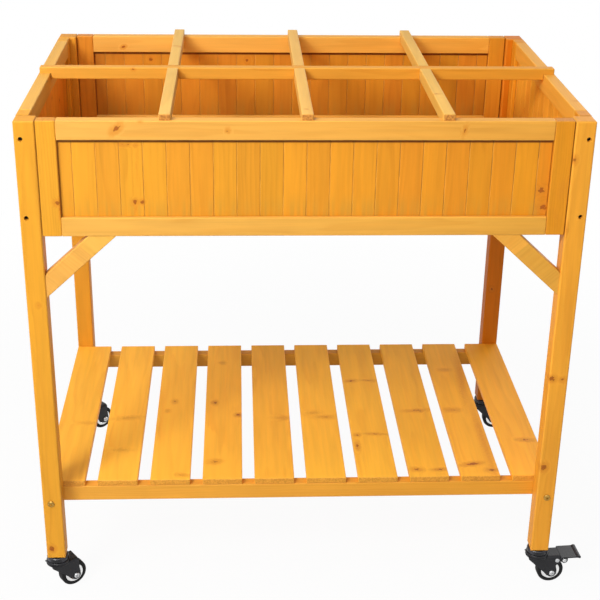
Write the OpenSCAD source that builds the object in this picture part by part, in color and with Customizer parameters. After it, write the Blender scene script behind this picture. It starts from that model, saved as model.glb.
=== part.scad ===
// Rolling planter: a panelled timber box with a lift-out divider grid, on four square
// legs with a slatted shelf, standing on four swivel casters, two of them with brakes.
// X runs along the width, Y from the front to the back, Z up from the floor.
// The origin lies on the floor, under the middle of the space that the planter takes up.

/* [Frame] */
// Width over the legs
planter_w = 965; // [760:1:1200]
// Depth over the legs
planter_d = 638; // [480:1:800]
// Height of the rim above the floor
rim_h = 940; // [700:1:1100]
// Side of a square leg
leg_size = 35; // [33:1:45]
// Rounding of a leg's edges
leg_round = 3; // [1:0.5:5]
// Rounding of the other timbers' edges
edge_round = 2; // [0.5:0.5:3]

/* [Box panels] */
// Height of the panels
panel_h = 203; // [160:1:300]
// Thickness of the panel frames
panel_t = 22; // [20:0.5:24]
// How far the front and rear panels sit behind the legs' faces
panel_recess = 2; // [0:0.5:4]
// Gap between a panel and a leg
leg_gap = 0.5; // [0.4:0.1:0.9]
// Height of a panel rail
rail_h = 33.5; // [30:0.5:42]
// Width of a panel stile
stile_w = 33; // [30:0.5:42]
// Face width of a panel board
board_w = 39.1; // [30:0.1:60]
// Thickness of a panel board
board_t = 7; // [6:0.5:8]
// Chamfer along a board's edges
board_chamfer = 0.8; // [0.6:0.1:1.6]
// Length of a board's tongue
tongue_len = 4; // [3:0.5:6]
// Depth of the groove that holds the boards
groove_depth = 8; // [6:0.5:9]

/* [Floor] */
// Width and height of a floor cleat
cleat_size = 18; // [14:1:24]
// Thickness of a floor board
floor_t = 10; // [8:1:15]
// Number of floor boards
floor_count = 10; // [6:1:14]
// Drain gap between floor boards
floor_gap = 4.5; // [3:0.5:8]

/* [Divider grid] */
// Width of a divider strip
divider_w = 20; // [16:1:24]
// Height of a divider strip
divider_h = 22; // [18:1:30]
// Thickness of the tab at a strip's end
tab_t = 11; // [8:1:14]
// How far a tab ends short of the panel's outer face
tab_inset = 2; // [0:0.5:6]
// Side clearance in a lap joint and at the panels
lap_gap = 0.3; // [0.3:0.1:1]

/* [Braces] */
// Length of a brace along the panel, from the leg
brace_run = 125; // [110:1:160]
// Length of a brace down the leg, from the panel
brace_drop = 115; // [100:1:160]
// Width of the brace timber
brace_w = 32.5; // [30:0.5:40]
// Thickness of the brace timber
brace_t = 20; // [16:1:22]
// How far a brace sits behind its panel's face
brace_recess = 1; // [0:0.5:2]

/* [Shelf] */
// Height of the shelf's top above the floor
shelf_z = 230; // [160:1:400]
// Height of a shelf rail
shelf_rail_h = 31; // [26:1:40]
// Thickness of a shelf rail
shelf_rail_t = 22; // [20:1:28]
// Number of slats
slat_count = 10; // [8:1:11]
// Width of a slat
slat_w = 75.5; // [60:0.5:80]
// Thickness of a slat
slat_t = 12.3; // [10:0.1:16]

/* [Fasteners] */
// Diameter of a wood screw's shank
screw_d = 4.8; // [4:0.2:5.6]
// Length of a panel screw in a stile
screw_bite = 16; // [10:1:18]
// Diameter of a sunk screw's pocket
pocket_d = 8; // [7.6:0.2:9]
// Depth of a sunk screw's pocket
pocket_depth = 10; // [5:0.5:12]
// Distance of the upper screws into a side panel from its top
side_screw_top = 31; // [26:1:34]
// Distance of the lower screws into a side panel from its underside
side_screw_foot = 34; // [28:1:38]
// Distance of the upper screws into a front or rear panel from its top
face_screw_top = 47; // [44:1:56]
// Distance of the lower screws into a front or rear panel from its underside
face_screw_foot = 50; // [48:1:60]
// Diameter of a shelf bolt's head
bolt_head_d = 13; // [11:0.5:15]
// Diameter of a shelf bolt's shank
bolt_d = 6; // [5:0.5:7]
// Distance of a shelf bolt from the planter's side
bolt_inset = 15; // [13:0.5:18]

/* [Casters] */
// Height of a caster, floor to leg
caster_h = 79.5; // [78:0.5:86]
// Diameter of a wheel
wheel_d = 52; // [48:1:52]
// Width of a tyre
wheel_w = 19; // [17:0.5:19.5]
// Trail of a wheel behind its swivel
caster_trail = 28; // [26:0.5:30]
// Thickness of the fork's sheet steel
sheet_t = 2.5; // [2:0.1:3]
// Width over the fork
fork_w = 33.5; // [32:0.5:35]
// Height of the fork's top
fork_top = 63.5; // [63:0.5:66]
// Diameter of the swivel's raceway
race_d = 44; // [40:0.5:46]
// Diameter of the kingpin
kingpin_d = 10; // [8:0.5:12]
// Diameter of the stem in the leg
stem_d = 8; // [6:0.5:10]
// Length of the stem in the leg
stem_len = 30; // [20:1:40]
// Number of balls in a swivel
ball_count = 14; // [8:1:16]
// Diameter of an axle bolt
axle_d = 7; // [6:0.5:8]
// Reach of a brake pedal from the swivel
pedal_reach = 84; // [78:1:90]
// Width of a brake pedal
pedal_w = 39; // [36:0.5:42]
// Turn of the front left caster
yaw_front_left = 35; // [0:1:45]
// Turn of the front right caster
yaw_front_right = 4; // [-10:1:10]
// Turn of the rear left caster
yaw_rear_left = 42; // [0:1:60]
// Turn of the rear right caster
yaw_rear_right = 0; // [-10:1:10]

/* [Hidden] */

$fn = 48;
cut = 1;                                  // how far a cut runs past the face it opens
arc_facet = 30;                           // greatest turn of a facet in a rounded corner

// Colours
pine = "#e9a23f";
pine_light = "#f3b65a";
pine_dark = "#c97f22";
zinc_yellow = "#b98a3a";
zinc = "#c9c9c6";
black_steel = "#242427";
black_rubber = "#161617";
black_plastic = "#2c2c2f";
chrome = "#e2e2e2";

// Frame
half_w = planter_w / 2;
half_d = planter_d / 2;
leg_x = half_w - leg_size / 2;
leg_y = half_d - leg_size / 2;
leg_len = rim_h - caster_h;

// Panels
panel_z = rim_h - panel_h;
long_panel_w = planter_w - 2 * (leg_size + leg_gap);
short_panel_w = planter_d - 2 * (leg_size + leg_gap);
board_slack = 0.15;                       // play of a board in its groove, each face
board_gap = 0.3;                          // gap between two boards
board_play = 1;                           // room above a board for the wood to swell
tongue_t = board_t / 3;
panel_in_y = panel_recess + panel_t;      // front panel's inner face, from the legs' face
cleat_gap = 0.3;                          // between the ends of the cleats

// Screws
screw_r = screw_d / 2;
side_screw_drops = [side_screw_top, panel_h - side_screw_foot];
face_screw_drops = [face_screw_top, panel_h - face_screw_foot];
screw_fit = 0.02;                         // play of a screw in its pilot hole
screw_clear = 0.15;                       // play of a screw in a leg
screw_head_h = 3;
pocket_r = pocket_d / 2;
head_play = 0.2;                          // play of a screw head in its pocket
drive_depth = 1.6;                        // depth of the square drive in a screw's head
screw_tip = 2.6;                          // length of a screw's point

// Dividers
seat_gap = 0.1;                           // a strip's rest above the rim
divider_z = rim_h + tab_t + seat_gap;     // tops of the strips
lap_z = divider_z - divider_h / 2;        // middle of the lap joints
wall_gap = 1;                             // between a strip's body and a panel
grid_w = planter_w - 2 * panel_t;         // between the side panels
cross_pitch = (grid_w - 3 * divider_w) / 4 + divider_w;

// Braces
brace_len = norm([brace_run, brace_drop]);
brace_angle = atan2(brace_drop, brace_run);
brace_top_x = brace_run - brace_w * brace_len / brace_drop;
brace_end_z = brace_w * brace_len / brace_run - brace_drop;
brace_corner_r = 12;
brace_screw_x = (brace_top_x + brace_run) / 2;
brace_screw_z = (brace_end_z - brace_drop) / 2;
brace_bite = 18;                          // a brace screw's length in the leg or panel
brace_head_in = 8;                        // depth of its head below the sloping face
brace_mid_y = panel_recess + brace_recess + brace_t / 2;

// Shelf
slat_pitch = (planter_w - slat_w) / (slat_count - 1);
rail_top_z = shelf_z - slat_t;
rail_mid_z = rail_top_z - shelf_rail_h / 2;
rail_y = half_d - leg_size;               // a shelf rail's outer face
slat_screw_r = 1.8;
slat_screw_bite = 8;                      // a slat screw's length in its slat
slat_pocket_depth = 8;
barrel_r = 5;
barrel_len = 14;
bolt_head_h = 2.6;
bolt_round = 2.4;                         // rounding of a bolt's head
bolt_end_round = 0.6;                     // and of its end
socket_depth = 2;                         // depth of the hexagon socket in a bolt's head
socket_play = 0.1;                        // by which the socket is narrower than the shank
bolt_tip = 7;                             // a bolt's length past the middle of its nut
bolt_end_gap = 1;

// Casters, in a caster's own frame: swivel axis at x = 0, wheel trailing along +x
wheel_r = wheel_d / 2;
fork_in = fork_w / 2 - sheet_t;           // inner face of a fork's arm
fork_out = fork_w / 2;
fork_end = caster_trail + 6;              // rear end of the crown
brake_end = caster_trail + 15;            // rear end of a braked fork's crown
race_r = race_d / 2;
race_h = 5;
race_top = fork_top + race_h;
race_gap = 0.6;                           // between the raceway and the top cup
cup_r = race_r - 1.5;
cup_foot = race_top + race_gap;
ball_r = 2.4;
ball_ring_r = race_r - 5;
ball_fit = 0.05;
kingpin_r = kingpin_d / 2;
kingpin_head_r = kingpin_r + 2.5;         // of the rivet that the kingpin ends in
kingpin_head_h = 3;
running_fit = 0.06;
rivet_gap = 0.3;
stem_r = stem_d / 2;
insert_r = stem_r + 2.5;
insert_len = 22;
axle_r = axle_d / 2;
arm_end_r = 9.5;
cheek_h = 4;                              // height of a fork's cheek at its front
arm_waist = [caster_trail + 7.5, wheel_r + 17];   // where an arm's rear edge turns
hub_r = wheel_r - 7.5;
trim_r = 12.2;
trim_t = 1.4;
trim_fit = 0.02;
tyre_round = 3.5;
boss_r = 7;
hub_side_gap = 0.3;                       // between the hub's boss and an arm
hub_half = wheel_w / 2 - 1.6;             // half width of the hub's disc

// Brake: pivot on the fork, shoe on the pedal, both given from the wheel's centre
pivot_x = caster_trail + 9.2;
pivot_z = wheel_r + 28;
pivot_r = 2.5;
shoe_x = caster_trail + 24.8;
shoe_z = wheel_r + 25.4;
rivet_head_r = 4.4;
rivet_head_h = 1.6;
rivet_round = 1.5;
pivot_ear_r = 4.6;                        // a pedal ear's rounding about its pivot
shoe_ear_r = 6.6;                         // and about its shoe's rivet
ear_t = 2.1;
ear_gap = 0.3;
ear_out = fork_in - ear_gap;              // outer face of a pedal's ear
ear_in = ear_out - ear_t;
ear_crown_gap = 2;                        // between an ear and the crown's top sheet
pedal_gap = 0.6;                          // between the fork's crown and the pedal
pedal_front = brake_end + pedal_gap;
pedal_top = fork_top - 1.2;
pedal_under = pedal_top - sheet_t;
lip_h = 1.8;
lip_len = 7.5;
shoe_gap = 4.4;                           // between a released shoe and its tyre
shoe_side_gap = 0.2;

// Middle of the space that the planter takes up, from the middle of its frame
crown_r = race_r + 0.5;
wheel_reach_y = (caster_trail + wheel_r) * sin(yaw_rear_left) + wheel_w / 2 * cos(yaw_rear_left);
mid_x = (pedal_reach - crown_r) / 2;
mid_y = (wheel_reach_y - crown_r) / 2;

// ---------- shared shapes ----------

// Points of an arc about c, from angle a0 to a1
function arc(c, r, a0, a1, steps) =
    [for (i = [0 : steps]) let (a = a0 + (a1 - a0) * i / steps) c + r * [cos(a), sin(a)]];

// Arc that rounds corner p between its neighbours a and b, each given as [x, y, radius]
function soft_corner(a, p, b) =
    let (q = [p[0], p[1]], r = p[2],
         u = ([a[0], a[1]] - q) / norm([a[0], a[1]] - q),
         v = ([b[0], b[1]] - q) / norm([b[0], b[1]] - q),
         half = acos(u * v) / 2,
         c = q + (u + v) / norm(u + v) * r / sin(half),
         s = q + u * r / tan(half) - c,
         e = q + v * r / tan(half) - c,
         turn = atan2(s[0] * e[1] - s[1] * e[0], s * e),
         start = atan2(s[1], s[0]))
    arc(c, r, start, start + turn, ceil(abs(turn) / arc_facet));

// Closed outline through points given as [x, y, radius], each corner rounded to its radius
function soft_path(pts) =
    [for (i = [0 : len(pts) - 1])
        let (a = pts[(i + len(pts) - 1) % len(pts)], p = pts[i], b = pts[(i + 1) % len(pts)])
        each p[2] > 0 ? soft_corner(a, p, b) : [[p[0], p[1]]]];

// Outline of a w by h rectangle with rounded corners, its low corner at the origin
function soft_outline(w, h, r) = soft_path([[0, 0, r], [w, 0, r], [w, h, r], [0, h, r]]);

// Angle at which the tangent from point p meets a circle about c, on the given side
function tangent_angle(p, c, r, side) =
    atan2(p[1] - c[1], p[0] - c[0]) + side * acos(r / norm(p - c));

// A timber of the given size with all its edges rounded, its low corner at the origin
module timber(size, r = edge_round) {
    intersection() {
        linear_extrude(size[2]) polygon(soft_outline(size[0], size[1], r));
        translate([0, size[1], 0]) rotate([90, 0, 0])
            linear_extrude(size[1]) polygon(soft_outline(size[0], size[2], r));
        rotate([90, 0, 90])
            linear_extrude(size[0]) polygon(soft_outline(size[1], size[2], r));
    }
}

// A round hole or pin from point p along the axis that rot turns Z onto
module rod(p, rot, r, len) {
    translate(p) rotate(rot) cylinder(r = r, h = len);
}

along_x = [0, 90, 0];
along_y = [-90, 0, 0];
along_minus_x = [0, -90, 0];

// Mirrors the front left corner's shape to the corner given by sx and sy
module at_corner(sx, sy) {
    mirror([sx > 0 ? 1 : 0, 0, 0]) mirror([0, sy > 0 ? 1 : 0, 0]) children();
}

// Moves the frame's middle so that the origin is under the middle of the whole planter
module in_place() {
    translate([-mid_x, -mid_y, 0]) children();
}

// ---------- legs ----------

module leg(sx, sy) {
    side_y = panel_t / 2;
    face_y = panel_recess + panel_t / 2;
    color(pine) at_corner(sx, sy) translate([-half_w, -half_d, 0]) difference() {
        translate([0, 0, caster_h]) timber([leg_size, leg_size, leg_len], leg_round);
        for (drop = side_screw_drops) {
            rod([side_y, -cut, rim_h - drop], along_y, screw_r + screw_clear, leg_size + 2 * cut);
            rod([side_y, -cut, rim_h - drop], along_y, pocket_r, pocket_depth + cut);
        }
        for (drop = face_screw_drops) {
            rod([-cut, face_y, rim_h - drop], along_x, screw_r + screw_clear, leg_size + 2 * cut);
            rod([-cut, face_y, rim_h - drop], along_x, pocket_r, pocket_depth + cut);
        }
        rod([bolt_inset, -cut, rail_mid_z], along_y, bolt_d / 2 + screw_clear, leg_size + 2 * cut);
        rod([leg_size - brace_bite, brace_mid_y, panel_z + brace_screw_z], along_x,
            screw_r + screw_fit, brace_bite + cut);
        translate([leg_size / 2, leg_size / 2, caster_h - cut])
            cylinder(r = insert_r + screw_fit, h = insert_len + cut);
        translate([leg_size / 2, leg_size / 2, caster_h])
            cylinder(r = stem_r + screw_clear, h = stem_len + cut);
    }
}

// ---------- box panels ----------
// A panel's own frame: x along it from its middle, y inward from its outer face, z up

module panel_rails(w, brace_holes) {
    rail_len = w - 2 * stile_w;
    difference() {
        for (z = [0, panel_h - rail_h])
            translate([-rail_len / 2, 0, z]) timber([rail_len, panel_t, rail_h]);
        translate([-w / 2, panel_t / 2 - board_t / 2 - board_slack, rail_h - groove_depth])
            cube([w, board_t + 2 * board_slack, panel_h - 2 * (rail_h - groove_depth)]);
        if (brace_holes)
            for (s = [-1, 1])
                rod([s * (half_w - leg_size - brace_screw_x), brace_mid_y - panel_recess, -cut],
                    [0, 0, 0], screw_r + screw_fit, brace_bite + cut);
    }
}

module panel_stiles(w, drops) {
    for (s = [0, 1]) mirror([s, 0, 0]) difference() {
        translate([w / 2 - stile_w, 0, 0]) timber([stile_w, panel_t, panel_h]);
        translate([w / 2 - stile_w - cut, panel_t / 2 - board_t / 2 - board_slack,
                   rail_h - groove_depth])
            cube([groove_depth + cut, board_t + 2 * board_slack,
                  panel_h - 2 * (rail_h - groove_depth)]);
        for (drop = drops)
            rod([w / 2 + cut, panel_t / 2, panel_h - drop], along_minus_x,
                screw_r + screw_fit, screw_bite + 2 * cut);
    }
}

// Plan of one board from x0 to x1, with a tongue at x1 and a groove at x0 where it has them
function board_outline(x0, x1, has_groove, has_tongue) =
    let (a = x0 + board_gap / 2, b = x1 - board_gap / 2, h = board_t / 2, v = board_chamfer,
         t = tongue_t / 2, g = tongue_t / 2 + board_slack, d = tongue_len + board_gap)
    concat(
        [[a + v, -h], [b - v, -h], [b, v - h]],
        has_tongue ? [[b, -t], [b + tongue_len, -t], [b + tongue_len, t], [b, t]] : [],
        [[b, h - v], [b - v, h], [a + v, h], [a, h - v]],
        has_groove ? [[a, g], [a + d, g], [a + d, -g], [a, -g]] : [],
        [[a, v - h]]);

// The boards stand in the bottom rail's groove; the end ones are ripped to fit the stiles'
module panel_boards(w) {
    field = w - 2 * stile_w + 2 * (groove_depth - board_play);
    spare = tongue_len + 3 * board_chamfer;            // least width of an end board
    side = ceil((field / 2 - spare) / board_w);        // boards on each side of the middle
    board_len = panel_h - 2 * (rail_h - groove_depth) - board_play;
    for (i = [-side : side - 1]) {
        first = i == -side;
        last = i == side - 1;
        x0 = first ? -field / 2 : i * board_w;
        x1 = last ? field / 2 : (i + 1) * board_w;
        translate([0, panel_t / 2, rail_h - groove_depth])
            linear_extrude(board_len) polygon(board_outline(x0, x1, !first, !last));
    }
}

module at_front() { translate([0, panel_recess - half_d, panel_z]) children(); }
module at_rear() { rotate(180) at_front() children(); }
module at_left() { translate([-half_w, 0, panel_z]) rotate(-90) children(); }
module at_right() { rotate(180) at_left() children(); }

module front_rails() { color(pine_light) at_front() panel_rails(long_panel_w, true); }
module front_stiles() { color(pine) at_front() panel_stiles(long_panel_w, face_screw_drops); }
module front_boards() { color(pine) at_front() panel_boards(long_panel_w); }
module rear_rails() { color(pine_light) at_rear() panel_rails(long_panel_w, true); }
module rear_stiles() { color(pine) at_rear() panel_stiles(long_panel_w, face_screw_drops); }
module rear_boards() { color(pine) at_rear() panel_boards(long_panel_w); }
module left_rails() { color(pine_light) at_left() panel_rails(short_panel_w, false); }
module left_stiles() { color(pine) at_left() panel_stiles(short_panel_w, side_screw_drops); }
module left_boards() { color(pine) at_left() panel_boards(short_panel_w); }
module right_rails() { color(pine_light) at_right() panel_rails(short_panel_w, false); }
module right_stiles() { color(pine) at_right() panel_stiles(short_panel_w, side_screw_drops); }
module right_boards() { color(pine) at_right() panel_boards(short_panel_w); }

// ---------- floor ----------

module floor_cleats() {
    side_len = planter_d - 2 * (panel_in_y + cleat_size + cleat_gap);
    bearer_len = planter_w - 2 * (panel_t + cleat_size + cleat_gap);
    color(pine_dark) translate([0, 0, panel_z]) {
        for (s = [0, 1]) mirror([0, s, 0])
            translate([-long_panel_w / 2, panel_in_y - half_d, 0])
                timber([long_panel_w, cleat_size, cleat_size]);
        for (s = [0, 1]) mirror([s, 0, 0])
            translate([panel_t - half_w, -side_len / 2, 0])
                timber([cleat_size, side_len, cleat_size]);
        translate([-bearer_len / 2, -cleat_size / 2, 0])
            timber([bearer_len, cleat_size, cleat_size]);
    }
}

module floor_boards() {
    field = planter_w - 2 * (leg_size + wall_gap);
    board = (field - (floor_count - 1) * floor_gap) / floor_count;
    len = planter_d - 2 * (panel_in_y + wall_gap);
    color(pine_dark) for (i = [0 : floor_count - 1])
        translate([i * (board + floor_gap) - field / 2, -len / 2, panel_z + cleat_size])
            timber([board, len, floor_t]);
}

// ---------- divider grid ----------

// A strip along X: its tabs reach to end_x, and its full height stops at body_x
module divider_strip(end_x, body_x) {
    difference() {
        translate([-end_x, -divider_w / 2, divider_z - divider_h])
            timber([2 * end_x, divider_w, divider_h]);
        for (s = [0, 1]) mirror([s, 0, 0])
            translate([body_x, -divider_w, divider_z - divider_h - cut])
                cube([end_x, 2 * divider_w, divider_h - tab_t + cut]);
    }
}

module long_divider() {
    color(pine_light) difference() {
        divider_strip(half_w - tab_inset, half_w - panel_t - wall_gap);
        for (i = [-1 : 1])
            translate([i * cross_pitch - divider_w / 2 - lap_gap, -divider_w,
                       divider_z - divider_h - cut])
                cube([divider_w + 2 * lap_gap, 2 * divider_w,
                      divider_h / 2 + lap_gap / 2 + cut]);
    }
}

module cross_divider(i) {
    color(pine_light) translate([i * cross_pitch, 0, 0]) rotate(90) difference() {
        divider_strip(half_d - panel_recess - tab_inset, half_d - panel_in_y - wall_gap);
        translate([-divider_w / 2 - lap_gap, -divider_w, lap_z - lap_gap / 2])
            cube([divider_w + 2 * lap_gap, 2 * divider_w, divider_h]);
    }
}

// ---------- braces ----------
// A brace's own frame: origin where the leg meets the panel's underside, x along the panel

module brace(sx, sy) {
    outline = soft_path([[0, -brace_drop, 0], [brace_run, 0, 0], [brace_top_x, 0, 0],
                         [0, brace_end_z, brace_corner_r]]);
    color(pine) at_corner(sx, sy)
    translate([leg_size - half_w, panel_recess + brace_recess - half_d, panel_z])
    difference() {
        intersection() {
            translate([0, 0, -brace_drop]) rotate([0, -brace_angle, 0])
                translate([-brace_w, 0, 0])
                    timber([brace_len + 2 * brace_w, brace_t, brace_w]);
            translate([0, brace_t, 0]) rotate([90, 0, 0])
                linear_extrude(brace_t) polygon(outline);
        }
        rod([-cut, brace_t / 2, brace_screw_z], along_x, screw_r + screw_clear, brace_run);
        rod([brace_run * (1 + brace_screw_z / brace_drop) - brace_head_in, brace_t / 2,
             brace_screw_z], along_x, pocket_r, brace_run);
        rod([brace_screw_x, brace_t / 2, -brace_drop], [0, 0, 0], screw_r + screw_clear,
            brace_drop + cut);
        rod([brace_screw_x, brace_t / 2,
             -brace_drop * (1 - brace_screw_x / brace_run) + brace_head_in],
            [180, 0, 0], pocket_r, brace_drop);
    }
}

// ---------- shelf ----------

module shelf_rails() {
    color(pine) for (sy = [-1, 1]) at_corner(-1, sy) difference() {
        translate([-half_w, -rail_y, rail_top_z - shelf_rail_h])
            timber([planter_w, shelf_rail_t, shelf_rail_h]);
        for (s = [-1, 1]) {
            rod([s * (half_w - bolt_inset), -rail_y - cut, rail_mid_z], along_y,
                bolt_d / 2 + screw_clear, shelf_rail_t / 2 + bolt_tip + bolt_end_gap + cut);
            rod([s * (half_w - bolt_inset), -rail_y + shelf_rail_t / 2,
                 rail_top_z - shelf_rail_h - cut], [0, 0, 0], barrel_r + screw_fit,
                shelf_rail_h / 2 + barrel_len / 2 + cut);
        }
        for (i = [0 : slat_count - 1]) translate([slat_w / 2 - half_w + i * slat_pitch,
                -rail_y + shelf_rail_t / 2, rail_top_z - shelf_rail_h - cut]) {
            cylinder(r = slat_screw_r + screw_clear, h = shelf_rail_h + 2 * cut);
            cylinder(r = pocket_r, h = slat_pocket_depth + cut);
        }
    }
}

module shelf_slats() {
    len = 2 * rail_y;
    color(pine_light) for (i = [0 : slat_count - 1])
        translate([i * slat_pitch - half_w, 0, rail_top_z]) difference() {
            translate([0, -len / 2, 0]) timber([slat_w, len, slat_t]);
            for (s = [-1, 1])
                translate([slat_w / 2, s * (rail_y - shelf_rail_t / 2), -cut])
                    cylinder(r = slat_screw_r + screw_fit, h = slat_screw_bite + cut);
        }
}

// ---------- wood fasteners ----------

// A screw along +z: its head's outer face at the origin, a square drive in the head
module wood_screw(len, r) {
    head_r = pocket_r - head_play;
    difference() {
        union() {
            cylinder(r = head_r, h = screw_head_h);
            cylinder(r = r, h = len - screw_tip);
            translate([0, 0, len - screw_tip]) cylinder(r1 = r, r2 = r / 3, h = screw_tip);
        }
        translate([0, 0, -cut]) cylinder(r = head_r / 2, h = drive_depth + cut, $fn = 4);
    }
}

module panel_screws() {
    start = pocket_depth - screw_head_h;
    screw_len = leg_size + leg_gap + screw_bite - start;
    for (s = [-1, 1]) {
        for (turn = [0, 180], drop = face_screw_drops)
            rotate(turn) at_front()
                translate([s * (long_panel_w / 2 + leg_gap + leg_size - start), panel_t / 2,
                           panel_h - drop])
                    rotate([0, -s * 90, 0]) wood_screw(screw_len, screw_r);
        for (turn = [0, 180], drop = side_screw_drops)
            rotate(turn) at_left()
                translate([s * (short_panel_w / 2 + leg_gap + leg_size - start), panel_t / 2,
                           panel_h - drop])
                    rotate([0, -s * 90, 0]) wood_screw(screw_len, screw_r);
    }
}

module brace_screws() {
    side_start = brace_run * (1 + brace_screw_z / brace_drop) - brace_head_in + screw_head_h;
    up_start = brace_drop * (1 - brace_screw_x / brace_run) - brace_head_in + screw_head_h;
    for (sx = [-1, 1], sy = [-1, 1]) at_corner(sx, sy)
        translate([leg_size - half_w, brace_mid_y - half_d, panel_z]) {
            translate([side_start, 0, brace_screw_z]) rotate(along_minus_x)
                wood_screw(side_start + brace_bite - 1, screw_r);
            translate([brace_screw_x, 0, -up_start])
                wood_screw(up_start + brace_bite - 1, screw_r);
        }
}

module wood_screws() {
    color(black_steel) {
        panel_screws();
        brace_screws();
    }
}

// Domed bolt head with a hexagon socket, its shank along +z from the origin
module shelf_bolt(len) {
    head_r = bolt_head_d / 2;
    difference() {
        rotate_extrude()
            polygon(soft_path([[0, -bolt_head_h, 0], [head_r, -bolt_head_h, bolt_round],
                               [head_r, 0, 0], [bolt_d / 2, 0, 0],
                               [bolt_d / 2, len, bolt_end_round], [0, len, 0]]));
        translate([0, 0, -bolt_head_h - cut])
            cylinder(r = bolt_d / 2 - socket_play, h = socket_depth + cut, $fn = 6);
    }
}

module shelf_fixings() {
    bolt_len = leg_size + shelf_rail_t / 2 + bolt_tip;
    color(zinc_yellow) for (sx = [-1, 1], sy = [-1, 1]) at_corner(sx, sy) {
        translate([bolt_inset - half_w, -half_d, rail_mid_z]) rotate(along_y)
            shelf_bolt(bolt_len);
        translate([bolt_inset - half_w, shelf_rail_t / 2 - rail_y, rail_mid_z])
            difference() {
                translate([0, 0, -barrel_len / 2]) cylinder(r = barrel_r, h = barrel_len);
                rod([0, -2 * barrel_r, 0], along_y, bolt_d / 2 + screw_fit, 4 * barrel_r);
            }
    }
    len = shelf_rail_h - slat_pocket_depth + screw_head_h + slat_screw_bite - 0.5;
    color(zinc_yellow) for (i = [0 : slat_count - 1], s = [-1, 1])
        translate([slat_w / 2 - half_w + i * slat_pitch, s * (rail_y - shelf_rail_t / 2),
                   rail_top_z - shelf_rail_h + slat_pocket_depth - screw_head_h])
            wood_screw(len, slat_screw_r);
}

// ---------- casters ----------

module at_legs() {
    for (sx = [-1, 1], sy = [-1, 1]) translate([sx * leg_x, sy * leg_y, 0]) children();
}

module stem_inserts() {
    color(zinc) at_legs() translate([0, 0, caster_h]) difference() {
        cylinder(r = insert_r, h = insert_len);
        translate([0, 0, -cut]) cylinder(r = stem_r + screw_fit, h = insert_len + 2 * cut);
    }
}

// Stem, top cup and riveted kingpin, turned in one piece about the swivel axis
module caster_stems() {
    head_top = fork_top - sheet_t - rivet_gap;
    head_foot = head_top - kingpin_head_h;
    stem_top = caster_h + stem_len - 1;
    profile = soft_path([
        [0, head_foot, 0], [kingpin_head_r, head_foot, 2], [kingpin_head_r, head_top, 0],
        [kingpin_r, head_top, 0], [kingpin_r, cup_foot, 0], [cup_r, cup_foot, 1],
        [cup_r, caster_h - 0.6, 4], [leg_size / 2 - 4, caster_h, 0], [stem_r, caster_h, 0],
        [stem_r, stem_top, 1], [0, stem_top, 0]]);
    color(black_steel) at_legs() rotate_extrude() difference() {
        polygon(profile);
        translate([ball_ring_r, race_top + race_gap / 2]) circle(ball_r + ball_fit);
    }
}

module swivel_balls() {
    color(chrome) at_legs() for (i = [0 : ball_count - 1])
        rotate(i * 360 / ball_count)
            translate([ball_ring_r, 0, race_top + race_gap / 2]) sphere(ball_r);
}

// Side view of a fork's arm: round the axle from its front edge, and up its rear edge. rear is
// [x, z] of the arm's upper rear corner and the x of the crown's end above it
function arm_outline(rear) =
    let (c = [caster_trail, wheel_r],
         front = [-0.9 * race_r, fork_top - cheek_h],
         a0 = tangent_angle(front, c, arm_end_r, 1),
         a1 = tangent_angle(arm_waist, c, arm_end_r, -1) + 360)
    concat([[front[0], fork_top], front], arc(c, arm_end_r, a0, a1, 20),
           [arm_waist, [rear[0], rear[1]], [rear[0], rear[1] + 3], [rear[2], fork_top - 1.5],
            [rear[2], fork_top]]);

// Cross-section of the fork: an upside-down U of bent sheet
function fork_section() =
    let (bend = 2 * sheet_t, inner = bend - sheet_t, top = fork_top - bend,
         out = fork_out - bend)
    concat([[fork_out, 0]], arc([out, top], bend, 0, 90, 4),
           arc([-out, top], bend, 90, 180, 4),
           [[-fork_out, 0], [-fork_in, 0]],
           arc([-out, top], inner, 180, 90, 4), arc([out, top], inner, 90, 0, 4),
           [[fork_in, 0]]);

module fork(braked) {
    rear = braked ? [brake_end + 1, pivot_z - 6, brake_end]
                  : [fork_end + 1, fork_top - 6, fork_end];
    crown_z = fork_top - sheet_t;
    color(black_steel) difference() {
        union() {
            intersection() {
                translate([-race_r, 0, 0]) rotate([90, 0, 90])
                    linear_extrude(race_d + brake_end) polygon(fork_section());
                translate([0, fork_w, 0]) rotate([90, 0, 0])
                    linear_extrude(2 * fork_w) polygon(arm_outline(rear));
            }
            translate([0, 0, crown_z]) cylinder(r = crown_r, h = sheet_t);
            translate([0, 0, crown_z]) rotate_extrude()
                polygon(soft_path([[0, 0, 0], [race_r, 0, 0], [race_r, race_h + sheet_t, 2],
                                   [0, race_h + sheet_t, 0]]));
        }
        translate([0, 0, crown_z - cut])
            cylinder(r = kingpin_r + running_fit, h = race_h + sheet_t + 2 * cut);
        translate([0, 0, race_top + race_gap / 2])
            rotate_extrude() translate([ball_ring_r, 0]) circle(ball_r + ball_fit);
        rod([caster_trail, -fork_w, wheel_r], along_y, axle_r + screw_fit, 2 * fork_w);
        if (braked)
            rod([pivot_x, -fork_w, pivot_z], along_y, pivot_r + screw_fit, 2 * fork_w);
    }
}

// Rivet from head to head along Y, its middle at the origin
module rivet(half, r) {
    end = half + rivet_head_h;
    rotate(along_y) rotate_extrude()
        polygon(soft_path([[0, -end, 0], [rivet_head_r, -end, rivet_round],
                           [rivet_head_r, -half, 0], [r, -half, 0], [r, half, 0],
                           [rivet_head_r, half, 0], [rivet_head_r, end, rivet_round],
                           [0, end, 0]]));
}

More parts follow.
